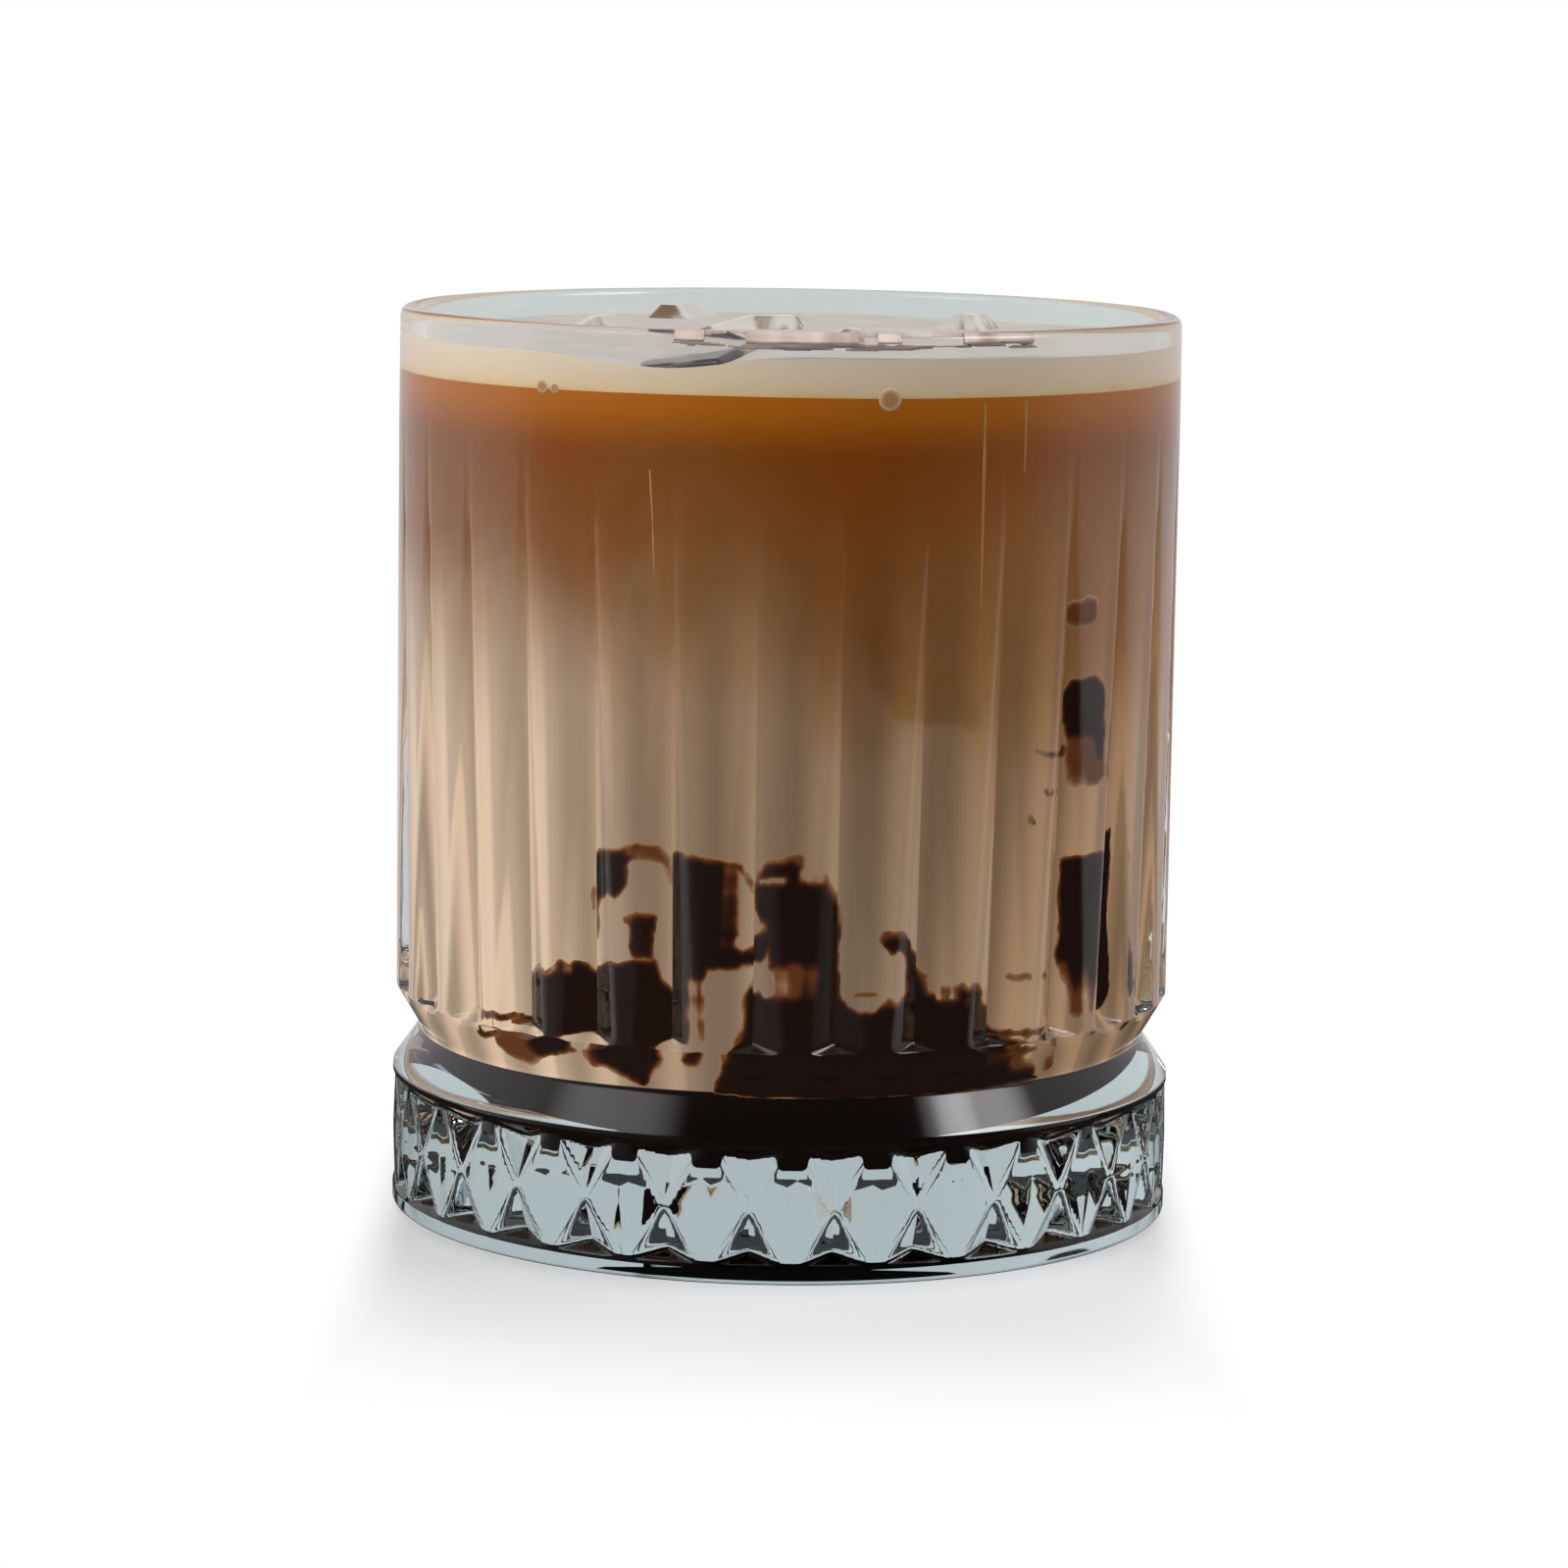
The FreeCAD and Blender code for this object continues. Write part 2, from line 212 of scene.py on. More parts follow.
def star_depth(across, height):
    """How deep the foot's pattern is pressed, for a distance in mm from the
    middle column of the nearest star."""
    away = height - STAR_HEIGHT
    up = away > 0
    spread = np.where(up, SPREAD_UP, SPREAD_DOWN)
    run = np.where(up, BAND_HIGH - STAR_HEIGHT, STAR_HEIGHT - BAND_LOW)
    beside = np.sqrt(across ** 2 + CREASE ** 2)
    groove = math.tan(math.radians(GROOVE_SLOPE)) * (np.abs(away) - beside / spread)
    wall = math.tan(math.radians(WALL_SLOPE)) * (run - np.abs(away))
    groove = soft_min(groove, wall, 0.10)
    half_facet = math.radians(PITCH / 4)
    turn = across / FOOT_RADIUS
    off_middle = np.abs(np.abs(turn) - half_facet)
    flat = FOOT_RADIUS * (1 - math.cos(half_facet) / np.cos(off_middle))
    lean = FACET_SET_IN * np.sqrt(away ** 2 + 0.1) / run
    facet = soft_min(flat + lean, wall, 0.1)
    return soft_max(soft_max(facet, groove, 0.13), np.zeros_like(groove), 0.05)


def flute_depth(across, height):
    """How deep a flute is, for a distance in mm from its crease."""
    deep = FLUTE_DEPTH * (FLUTE_TOP - height) / (FLUTE_TOP - SHOULDER)
    beside = np.sqrt(across ** 2 + CREASE ** 2) - CREASE
    flank = deep - FLUTE_DEPTH * beside / FLUTE_HALF_WIDTH
    scoop = SHOULDER - 0.55 + 0.5 * (across / 2.6) ** 2    # a rounded lower end
    scooped = soft_min(flank, 1.3 * (height - scoop), 0.55)
    return soft_max(scooped, np.zeros_like(flank), 0.06)


def tumbler():
    """The glass: its outline turned round, with flutes and stars pressed in."""
    lip = RIM_WALL / 2 - 0.05
    dome = [(radius, DOME_RISE * (1 - (radius / DOME_RADIUS) ** 2))
            for radius in np.linspace(4, DOME_RADIUS, 6)]
    outline = rounded_line([
        (*dome[-1], 0, 5), (FOOT_RADIUS, 0, FOOT_EDGE, 3),
        (FOOT_RADIUS, FOOT_TOP, FOOT_TOP_EDGE, 0.26), (WAIST_RADIUS, WAIST, WAIST_EDGE, 1.2),
        (BODY_RADIUS, SHOULDER, SHOULDER_EDGE, 1.2),
        (BODY_RADIUS, SHOULDER + 3.6, 0, 0.24), (BODY_RADIUS, FLUTE_TOP, 0, 3.5),
        (RIM_RADIUS, RIM, lip, 4), (CAVITY_RIM_RADIUS, RIM, lip, 1),
        (CAVITY_LOW_RADIUS, BASE, CAVITY_CORNER, 8), (4, BASE, 0, 6)])
    line = np.concatenate([np.array(dome[:-1]), outline])
    columns = REPEATS * FLUTE_STEPS
    step = 360.0 / columns
    angle = PATTERN_TURN + step * np.arange(columns)
    half = FLUTE_STEPS // 2
    nearest = (np.arange(columns) + half) % FLUTE_STEPS - half
    across = np.radians(nearest * step)[None, :] * BODY_RADIUS
    radius, height = line[:, 0][:, None], line[:, 1][:, None]
    outside = (np.arange(len(line)) <= np.argmax(line[:, 1]))[:, None]
    in_band = outside & (height > BAND_LOW - 0.4) & (height < BAND_HIGH + 0.4)
    in_flutes = outside & (height > WAIST + 1) & (height < FLUTE_TOP + 1)
    pressed = np.where(in_band, star_depth(across, height), 0)
    pressed = pressed + np.where(in_flutes, flute_depth(across, height), 0)
    rows = on_glass(angle[None, :], radius - pressed, height)
    mesh = lathe("tumbler", rows, (0, 0, DOME_RISE), (0, 0, BASE))
    piece = new_piece("pressed_tumbler", mesh, "glass", ["tumbler"])
    # The creases up the middle of stars and flutes stay sharp.
    ends = np.empty(2 * len(mesh.edges), np.int32)
    mesh.edges.foreach_get("vertices", ends)
    row, column = np.divmod(ends.reshape(-1, 2) - 1, columns)
    creased = pressed.max(axis=1) > 0.12
    sharp = (column[:, 0] == column[:, 1]) & (column[:, 0] % FLUTE_STEPS == 0)
    sharp &= (row >= 0).all(axis=1) & (row < len(line)).all(axis=1)
    sharp &= creased[np.clip(row, 0, len(line) - 1)].all(axis=1)
    mark = mesh.attributes.new("sharp_edge", "BOOLEAN", "EDGE")
    mark.data.foreach_set("value", sharp)
    return piece


# ------------------------------------------------------------------ drink
def cavity_radius(height):
    share = (height - BASE) / (RIM - BASE)
    return CAVITY_LOW_RADIUS + share * (CAVITY_RIM_RADIUS - CAVITY_LOW_RADIUS)


def wave(x, y, span):
    """Slow uneven ripple between about -1 and 1."""
    u, v = 2 * math.pi * x / span, 2 * math.pi * y / span
    return 0.5 * np.cos(u + 0.6) + 0.35 * np.cos(v - 1.1) + 0.25 * np.cos(1.3 * u + v)


def level(height, slope, ripple, dip=0.0):
    """A layer's surface as a function of place: sloping, wavy and, for the
    foam, pushed down in front of the ice at the front."""
    turn = math.radians(FRONT_ICE_TURN)
    away_from_axis = cavity_radius(FOAM_TOP) - FRONT_ICE_GAP

    def surface(x, y):
        u = (x - away_from_axis * math.sin(turn)) / DIP_REACH
        v = (y + away_from_axis * math.cos(turn)) / DIP_REACH
        hollow = dip * np.exp(-u * u - v * v)
        return height + slope * x + ripple * wave(x, y, 1.3 * BODY_RADIUS) - hollow
    return surface


FOAM_SURFACE = level(FOAM_TOP, 0, 0.25, 1.5)
COFFEE_SURFACE = level(COFFEE_TOP, 0.001, 0.08)
MILK_SURFACE = level(COFFEE_FLOOR, -0.08, 1.6)
SYRUP_SURFACE = level(SYRUP_TOP, 0.01, 0.8)


def at_wall(surface, angle):
    """Height of a surface where it meets the wall, and the radius there."""
    height = np.full_like(angle, 50.0)
    for _ in range(3):
        spot = on_glass(angle, cavity_radius(height), 0)
        height = surface(spot[..., 0], spot[..., 1])
    return height, cavity_radius(height) + INTO_WALL


def disc(surface, angle, shares):
    """Rings of a surface, for shares of the way out to the wall."""
    _, reach = at_wall(surface, angle)
    rows = []
    for share in shares:
        spot = on_glass(angle, reach * share, 0)
        spot[:, 2] = surface(spot[:, 0], spot[:, 1])
        rows.append(spot)
    return rows


def layer(name, slot, nodes, low, high, columns=180, rings=14, wall_rows=8):
    """A layer of drink between two surfaces. The lowest has the cavity's floor
    under it instead."""
    angle = np.arange(columns) * 360.0 / columns
    shares = np.linspace(1.0 / rings, 1, rings)
    top_height, _ = at_wall(high, angle)
    if low:
        rows = disc(low, angle, shares)
        bottom_height, _ = at_wall(low, angle)
        bottom = (0, 0, float(low(0.0, 0.0)))
    else:
        floor = BASE - INTO_WALL
        corner = CAVITY_CORNER + INTO_WALL
        wall = cavity_radius(POOL_WALL_HEIGHT) + INTO_WALL
        line = rounded_line([(3, floor, 0, 5),
                             (CAVITY_LOW_RADIUS + INTO_WALL, floor, corner, 5),
                             (wall, POOL_WALL_HEIGHT, 0, 5)], arc_step=8)
        rows = [on_glass(angle, radius, height) for radius, height in line]
        bottom_height = np.full(columns, line[-1][1])
        bottom = (0, 0, floor)
    for i in range(1, wall_rows):
        height = bottom_height + (top_height - bottom_height) * i / wall_rows
        rows.append(on_glass(angle, cavity_radius(height) + INTO_WALL, height))
    rows += disc(high, angle, shares)[::-1]
    top = (0, 0, float(high(0.0, 0.0)))
    mesh = lathe(name, np.array(rows), bottom, top)
    return new_piece(name, mesh, slot, nodes, sharp=40)


# --------------------------------------------------------- syrup on the wall
# Syrup left inside the wall above the pool, as outlines of (angle, height) and
# as strokes of (angle, height, half-width in mm).
PATCHES = [
    # The hook at the left: leg, top and the fold under it.
    [(-28.6, 43.0), (-27.2, 43.0), (-25.1, 43.8), (-21.7, 44.1), (-20.4, 43.7), (-19.0, 42.6),
     (-18.8, 40.0), (-19.7, 39.8), (-20.3, 41.4), (-21.2, 42.2), (-23.4, 42.3), (-24.3, 41.6),
     (-24.5, 40.2), (-25.2, 38.9), (-26.3, 37.9), (-27.4, 37.7), (-27.5, 35.0), (-28.2, 33.2),
     (-29.0, 34.0), (-30.5, 38.0)],
    [(-33.6, 39.0), (-32.6, 39.4), (-32.2, 36.6), (-33.2, 36.4)],
    [(-25.0, 36.5), (-23.5, 36.9), (-21.9, 36.9), (-22.1, 35.6), (-22.5, 34.6), (-22.3, 32.0),
     (-24.6, 32.0), (-24.3, 34.2), (-24.4, 35.6), (-25.2, 35.7)],
    # The left box and base, down to the ragged foot.
    [(-43.5, 24.6), (-41.8, 29.0), (-39.6, 29.5), (-38.2, 29.9), (-37.5, 31.1), (-34.8, 31.2),
     (-33.6, 30.5), (-28.4, 30.6), (-26.4, 31.5), (-24.0, 32.1), (-21.8, 32.4), (-21.6, 30.4),
     (-19.9, 29.5), (-18.0, 27.5), (-15.6, 27.2), (-12.5, 27.0), (-12.0, 24.8), (-12.0, 23.4),
     (-12.8, 22.4), (-14.6, 22.3), (-16.5, 23.0), (-18.6, 22.7), (-20.6, 21.6), (-21.6, 19.4),
     (-22.6, 18.4), (-25.0, 20.1), (-28.4, 21.1), (-31.7, 21.8), (-34.0, 22.9), (-37.0, 22.7),
     (-41.6, 21.7), (-44.0, 20.6), (-47.4, 21.0), (-52.0, 22.0), (-53.0, 24.0), (-48.7, 24.6)],
    # The big block with the sweep that runs on from it.
    [(-17.0, 43.2), (-15.4, 43.5), (-13.9, 43.4), (-13.2, 42.8), (-9.2, 42.9), (-8.1, 42.1),
     (-8.2, 35.6), (-9.3, 34.4), (-7.8, 33.6), (-5.0, 34.4), (-2.2, 35.4), (-0.6, 36.6),
     (0.4, 36.0), (0.4, 32.2), (-3.0, 32.1), (-6.5, 31.9), (-9.3, 31.3), (-12.1, 30.7),
     (-12.3, 27.0), (-11.9, 24.8), (-17.0, 24.8)],
    # The tall mass, round bay and curled mass in the middle, down to the pool.
    [(-2.9, 38.8), (-2.9, 41.0), (-2.0, 42.2), (-0.2, 43.2), (1.2, 43.6), (3.4, 43.3),
     (4.1, 42.3), (3.7, 41.6), (2.9, 41.3), (3.6, 40.7), (4.4, 40.8), (4.8, 41.5), (5.6, 41.5),
     (6.3, 40.2), (7.6, 39.4), (10.9, 38.6), (11.4, 36.3), (10.8, 33.5), (10.7, 31.0),
     (11.2, 29.4), (12.2, 28.4), (13.6, 27.6), (15.2, 27.3), (16.6, 28.1), (17.8, 29.8),
     (18.0, 32.0), (17.2, 33.2), (15.4, 34.2), (14.9, 34.9), (16.0, 35.6), (17.6, 35.5),
     (18.9, 34.4), (19.4, 33.2), (24.2, 31.9), (25.4, 31.3), (26.4, 30.6), (26.0, 29.7),
     (27.2, 28.6), (28.1, 28.0), (29.2, 28.2), (28.1, 29.0), (28.6, 29.8), (30.2, 29.9),
     (31.5, 28.6), (31.2, 27.6), (34.5, 26.9), (36.4, 26.2), (38.0, 25.2), (39.6, 24.7),
     (42.0, 24.2), (45.8, 23.8), (45.2, 23.1), (42.6, 22.9), (46.0, 21.9), (46.6, 20.0),
     (49.0, 17.0), (-9.5, 17.0), (-11.0, 19.0), (-10.6, 20.6), (-9.2, 22.0), (-9.4, 24.2),
     (-8.4, 26.0), (-8.2, 29.0), (-6.9, 29.9), (-6.1, 31.0), (-5.2, 30.8), (-3.0, 28.4),
     (0.0, 31.8), (-0.6, 34.0), (-0.8, 36.2), (-1.7, 36.9), (-2.7, 37.8)],
    # The tall streak at the right, in three lengths.
    [(51.4, 42.0), (57.0, 41.5), (60.0, 42.2), (66.0, 43.8), (67.2, 43.6), (68.0, 38.8),
     (68.4, 33.3), (70.3, 30.3), (73.0, 24.0), (57.5, 23.6), (57.0, 27.2), (54.8, 29.0),
     (52.5, 30.6), (52.3, 32.0), (53.1, 34.5), (51.9, 38.0)],
    [(48.8, 60.3), (57.4, 60.6), (57.8, 56.4), (57.8, 52.0), (58.8, 49.2), (52.6, 48.8),
     (51.0, 51.6), (50.6, 54.6), (49.0, 56.4)],
    [(47.2, 68.4), (53.6, 68.9), (54.4, 65.8), (48.4, 65.2)],
    [(47.6, 22.6), (50.6, 22.8), (51.0, 20.6), (47.8, 20.4)],
]
STROKES = [
    [(-8.4, 42.0, 0.5), (-7.2, 41.2, 0.4), (-6.1, 39.5, 0.15)],
    [(-40.9, 29.0, 0.3), (-38.3, 30.2, 0.1)],
    [(14.0, 29.1, 0.2), (15.0, 29.2, 0.32)],
    [(42.2, 29.8, 0.35), (43.0, 29.6, 0.4)],
    [(41.8, 53.3, 0.25), (43.7, 52.6, 0.4), (50.5, 52.8, 0.8)],
    [(44.0, 48.9, 0.35), (44.6, 48.6, 0.2)],
    [(41.2, 46.3, 0.4), (41.9, 45.8, 0.25)],
    [(-56.0, 23.6, 0.5), (-50.0, 24.4, 0.3)],
]
# Where it was wiped away again.
SCRAPES = [
    [(-1.6, 40.7, 0.25), (-0.3, 40.9, 0.3)],
    [(-4.4, 30.4, 1.0), (-0.6, 30.8, 0.9), (-0.2, 29.8, 0.9)],
    [(-10.3, 29.0, 0.9), (-10.2, 25.0, 0.9)],
]
# Where it is thin and brown with light behind it.
THIN = [
    [(-24.3, 43.0, 0.7), (-21.0, 43.0, 0.9), (-19.4, 41.0, 1.0)],
    [(-28.2, 36.0, 0.7), (-28.0, 34.0, 0.8)],
    [(-33.0, 38.0, 1.2)],
    [(-24.2, 36.2, 0.4)],
    [(-8.3, 41.0, 0.4), (-8.5, 36.0, 0.5)],
    [(-7.4, 41.5, 0.5), (-6.2, 40.0, 0.4)],
    [(-2.8, 40.8, 0.4), (-1.2, 42.6, 0.5), (1.5, 43.2, 0.5), (3.5, 42.6, 0.8)],
    [(5.2, 41.0, 0.6), (6.3, 39.4, 0.5), (11.2, 37.0, 0.9)],
    [(2.1, 31.2, 1.3), (1.9, 29.5, 1.1)],
    [(-7.8, 29.0, 0.6), (-8.0, 26.0, 0.6), (-8.8, 23.6, 0.5)],
    [(15.2, 34.9, 0.7), (17.4, 35.2, 0.5)],
    [(24.6, 31.4, 0.8), (26.6, 29.2, 0.8)],
    [(28.6, 29.6, 0.8), (30.2, 29.2, 0.5)],
    [(35.6, 26.3, 0.7), (38.8, 25.0, 0.6)],
    [(42.0, 22.4, 1.4), (46.4, 22.0, 1.0)],
    [(36.0, 23.0, 0.6), (44.0, 23.6, 0.5)],
    [(54.6, 29.6, 1.0), (58.0, 25.0, 1.5)],
    [(68.4, 43.0, 1.0), (68.2, 36.0, 0.5)],
    [(52.6, 52.6, 1.8), (54.0, 49.8, 1.8), (57.6, 50.6, 1.2)],
    [(42.0, 53.0, 1.2), (44.2, 48.8, 1.0), (41.4, 46.2, 0.9)],
    [(47.0, 67.2, 2.2), (55.0, 67.2, 2.2)],
    [(42.0, 29.8, 0.6), (43.2, 29.6, 0.6)],
    [(-51.0, 22.6, 1.8), (-44.0, 21.4, 1.2)],
    [(-33.0, 22.4, 0.5), (-28.0, 21.2, 0.5), (-24.0, 19.8, 0.5)],
    [(-13.0, 22.8, 0.6), (-12.0, 24.0, 0.4)],
    [(49.0, 21.6, 1.0)],
]
# Angles and heights that each film lies in, and its mesh's cell in mm.
SMEAR_SPAN, SMEAR_CELL = (-66, 76, 17.2, 72), 0.22
STREAK_SPAN, STREAK_CELL = (-22, 46, 93.7, 95.1), 0.07
DRIP_SPAN, DRIP_CELL = (-22, 39, 61, 89.3), 0.09


def patch_field(outline, angle, height, radius):
    """How far inside an outline each place lies, in mm, less than 0 outside."""
    ring = np.array(outline, float) * (MM_PER_DEGREE * radius, 1)
    for _ in range(2):                 # cutting the corners twice rounds them
        ahead = np.roll(ring, -1, axis=0)
        cut = [0.75 * ring + 0.25 * ahead, 0.25 * ring + 0.75 * ahead]
        ring = np.stack(cut, 1).reshape(-1, 2)
    x, z = angle * MM_PER_DEGREE * radius, height
    nearest, inside = np.full_like(x, 50.0), np.zeros(x.shape, bool)
    for (ax, az), (bx, bz) in zip(ring, np.roll(ring, -1, axis=0)):
        dx, dz = bx - ax, bz - az
        share = np.clip(((x - ax) * dx + (z - az) * dz) / (dx * dx + dz * dz), 0, 1)
        nearest = np.minimum(nearest, np.hypot(x - ax - share * dx, z - az - share * dz))
        if az != bz:
            inside ^= ((az > z) != (bz > z)) & (x < ax + dx * (z - az) / dz)
    return np.where(inside, nearest, -nearest)


def stroke_field(strokes, angle, height, radius):
    """How far inside the nearest stroke each place lies, in mm."""
    best = np.full_like(angle, -50.0)
    for stroke in strokes:
        spots = [np.array(spot, float) for spot in stroke]
        if len(spots) == 1:
            spots.append(spots[0] + (0.01, 0, 0))
        for a, b in zip(spots, spots[1:]):
            scale = MM_PER_DEGREE * radius
            ax, bx, px = a[0] * scale, b[0] * scale, angle * scale
            dx, dz = bx - ax, b[1] - a[1]
            share = ((px - ax) * dx + (height - a[1]) * dz) / (dx * dx + dz * dz)
            share = np.clip(share, 0, 1)
            gap = np.hypot(px - ax - share * dx, height - a[1] - share * dz)
            best = np.maximum(best, a[2] + (b[2] - a[2]) * share - gap)
    return best


def film(name, slot, span, cell, coat, least=-0.2):
    """Closed slab at the wall whose face stands out of the drink where the
    coat, a function of angle and height, gives more than nothing. It gives a
    depth inside the outline and a thickness from 0 to 1. The slab goes on
    under the drink's face down to the least lift."""
    first, last, low, high = span
    radius = cavity_radius((low + high) / 2)
    columns = int((last - first) * MM_PER_DEGREE * radius / cell)
    rows = int((high - low) / cell)
    angle, height = np.meshgrid(np.linspace(first, last, columns),
                                np.linspace(low, high, rows))
    field, thickness = coat(angle, height, radius)
    lift = np.clip(0.16 * field, -0.25, 0.12)
    front = on_glass(angle, cavity_radius(height) + INTO_WALL + lift, height)
    back = on_glass(angle, cavity_radius(height) - 0.5, height)
    keep = lift[:-1, :-1] > least
    for corner in (lift[1:, :-1], lift[:-1, 1:], lift[1:, 1:]):
        keep |= corner > least
    index = np.arange(rows * columns).reshape(rows, columns)
    total = rows * columns
    a, b, c, d = index[:-1, :-1], index[:-1, 1:], index[1:, 1:], index[1:, :-1]
    faces = np.stack([a, b, c, d], -1)[keep]
    behind = np.stack([a, d, c, b], -1)[keep] + total
    padded = np.pad(keep, 1)
    sides = []
    for (i, j), start, end in (((0, 1), a, b), ((2, 1), c, d), ((1, 0), d, a), ((1, 2), b, c)):
        edge = keep & ~padded[i:i + rows - 1, j:j + columns - 1]
        near, far = end[edge], start[edge]
        sides.append(np.stack([near, far, far + total, near + total], -1))
    faces = np.concatenate([faces, behind, *sides])
    used, faces = np.unique(faces, return_inverse=True)
    points = np.concatenate([front.reshape(-1, 3), back.reshape(-1, 3)])[used] * MM
    mesh = bpy.data.meshes.new(name)
    mesh.from_pydata(points.tolist(), [], faces.reshape(-1, 4).tolist())
    tone = mesh.attributes.new("thickness", "FLOAT", "POINT")
    tone.data.foreach_set("value", np.concatenate([thickness.ravel()] * 2)[used])
    return new_piece(name, mesh, slot)


def syrup_coat(angle, height, radius):
    """Syrup in the outlines and strokes, with frayed edges."""
    u, v = angle * MM_PER_DEGREE * radius, height
    sway = 0.4 * layered_noise(u / 1.6, v / 2.2, 5)
    frayed_angle = angle + sway / MM_PER_DEGREE / radius
    frayed_height = height + 0.4 * layered_noise(u / 1.8, v / 1.8, 11)
    wet = stroke_field(STROKES, frayed_angle, frayed_height, radius)
    for outline in PATCHES:
        wet = np.maximum(wet, patch_field(outline, frayed_angle, frayed_height, radius))
    wiped = stroke_field(SCRAPES, frayed_angle, frayed_height, radius)
    thin = stroke_field(THIN, angle, height, radius)
    field = soft_min(wet, -wiped, 0.2) + 0.16 * layered_noise(u / 0.55, v / 0.9, 21, 2)
    patchy = field + 0.25 * layered_noise(u / 2.5, v / 3.5, 31)
    thickness = smooth_step(-0.05, 0.75, patchy)
    return field, thickness * (1 - 0.72 * smooth_step(-0.5, 0.6, thin))


# Milk that ran down the wall, as strokes.
DRIPS = [[(29.4, 89.0, 0.12), (29.6, 84.0, 0.14), (30.0, 72.0, 0.10), (30.4, 62.0, 0.02)],
         [(36.5, 89.0, 0.16), (36.6, 87.0, 0.10), (36.8, 82.0, 0.02)],
         [(-20.6, 82.0, 0.02), (-20.2, 77.0, 0.08), (-20.0, 70.0, 0.02)]]


def drip_coat(angle, height, radius):
    u, v = angle * MM_PER_DEGREE * radius, height
    field = stroke_field(DRIPS, angle, height, radius)
    return field + 0.08 * layered_noise(u / 0.8, v / 2.5, 41), np.zeros_like(angle)


def streak_coat(angle, height, radius):
    """Brown streaks under the lip, which thin out towards both ends."""
    u, v = angle * MM_PER_DEGREE * radius, height
    middle = 94.8 + 0.2 * layered_noise(u / 9, v * 0, 51, 2)
    ends = np.minimum(angle + 20, 44 - angle) / 14
    band = 0.24 * np.clip(ends, 0, 1) - 0.16 - 0.4 * abs(height - middle)
    field = band + 0.5 * layered_noise(u / 5, v / 0.2, 53)
    return field, 0.45 + 0.55 * layered_noise(u / 2.5, v / 0.3, 61)


# Bubbles under the foam: angle, height and radius.
BUBBLES = [(-38.6, 89.8, 0.7), (-36.3, 89.7, 0.55), (14.5, 89.5, 1.15)]


def bubble(name, angle, height, size):
    """Flat bubble pressed against the wall."""
    turn = np.arange(28) * math.tau / 28
    rows, edge = [], [0.0]
    for share, lift in ((0.6, -0.4), (1.0, -0.4), (1.0, 0.0), (0.93, 0.04), (0.8, 0.06),
                        (0.55, 0.08), (0.25, 0.09)):
        z = height + share * size * np.sin(turn)
        away = np.degrees(share * size * np.cos(turn) / cavity_radius(height))
        rows.append(on_glass(angle + away, cavity_radius(z) + INTO_WALL + lift, z))
        # Painted highlight: the thickness attribute rises to 1 at the bubble's rim, which turns
        # it palest.
        edge += [smooth_step(0.5, 0.93, share)] * len(turn)
    middle = on_glass(angle, cavity_radius(height), height)
    outward = middle * (1, 1, 0) / cavity_radius(height)
    mesh = lathe(name, np.array(rows), middle - 0.25 * outward, middle + 0.24 * outward)
    tone = mesh.attributes.new("thickness", "FLOAT", "POINT")
    tone.data.foreach_set("value", np.array(edge + [0.0], np.float32))
    return new_piece(name, mesh, "foam")


# ---------------------------------------------------------- node helpers
def new_material(name):
    material = bpy.data.materials.new(name)
    material.use_nodes = True
    tree = material.node_tree
    tree.nodes.clear()
    output = tree.nodes.new("ShaderNodeOutputMaterial")
    return material, tree, output


def feed(tree, node, key, value):
    """Link another node's output to an input, or set the input to a value."""
    if isinstance(value, bpy.types.NodeSocket):
        tree.links.new(value, node.inputs[key])
    else:
        node.inputs[key].default_value = value


def add(tree, kind, inputs=None, **settings):
    """A node with its properties set, and its inputs set or linked by name."""
    node = tree.nodes.new(kind)
    for key, value in settings.items():
        setattr(node, key, value)
    for key, value in (inputs or {}).items():
        feed(tree, node, key, value)
    return node


def work(tree, operation, *values):
    """Result of a Math node."""
    node = add(tree, "ShaderNodeMath", dict(enumerate(values)), operation=operation)
    return node.outputs[0]


def ramp(tree, factor, stops):
    """Colour ramp from (place, colour) stops."""
    node = add(tree, "ShaderNodeValToRGB", {"Fac": factor})
    elements = node.color_ramp.elements
    while len(elements) < len(stops):
        elements.new(0.5)
    for element, (place, colour) in zip(elements, stops):
        element.position = place
        element.color = (*colour, 1)
    return node.outputs["Color"]


def carried(tree, value, low, high, to_low=0.0, to_high=1.0):
    """value from low..high smoothly carried to to_low..to_high."""
    node = add(tree, "ShaderNodeMapRange", {"Value": value, "From Min": low, "From Max": high,
                                            "To Min": to_low, "To Max": to_high},
               interpolation_type="SMOOTHSTEP")
    return node.outputs["Result"]


def blend(tree, factor, first, second):
    """first where the factor is 0, second where it is 1."""
    node = add(tree, "ShaderNodeMix", {0: factor}, data_type="RGBA")
    for key, colour in ((6, first), (7, second)):
        linked = isinstance(colour, bpy.types.NodeSocket)
        feed(tree, node, key, colour if linked else (*colour, 1))
    return node.outputs[2]


def new_group(name, takes, gives):
    group = bpy.data.node_groups.new(name, "ShaderNodeTree")
    kind = "NodeSocketFloat"
    for socket, value in takes:
        made = group.interface.new_socket(name=socket, in_out="INPUT", socket_type=kind)
        made.default_value = value
    for socket in gives:
        group.interface.new_socket(name=socket, in_out="OUTPUT", socket_type=kind)
    return group, group.nodes.new("NodeGroupInput"), group.nodes.new("NodeGroupOutput")


def placed(tree, group, inputs=None):
    """A shared effect in a material, with its own values."""
    return add(tree, "ShaderNodeGroup", inputs, node_tree=GROUPS[group])


def paint(obj, material):
    obj.data.materials.clear()
    obj.data.materials.append(material)


# -------------------------------------------------------- shared effects
GROUPS = {}


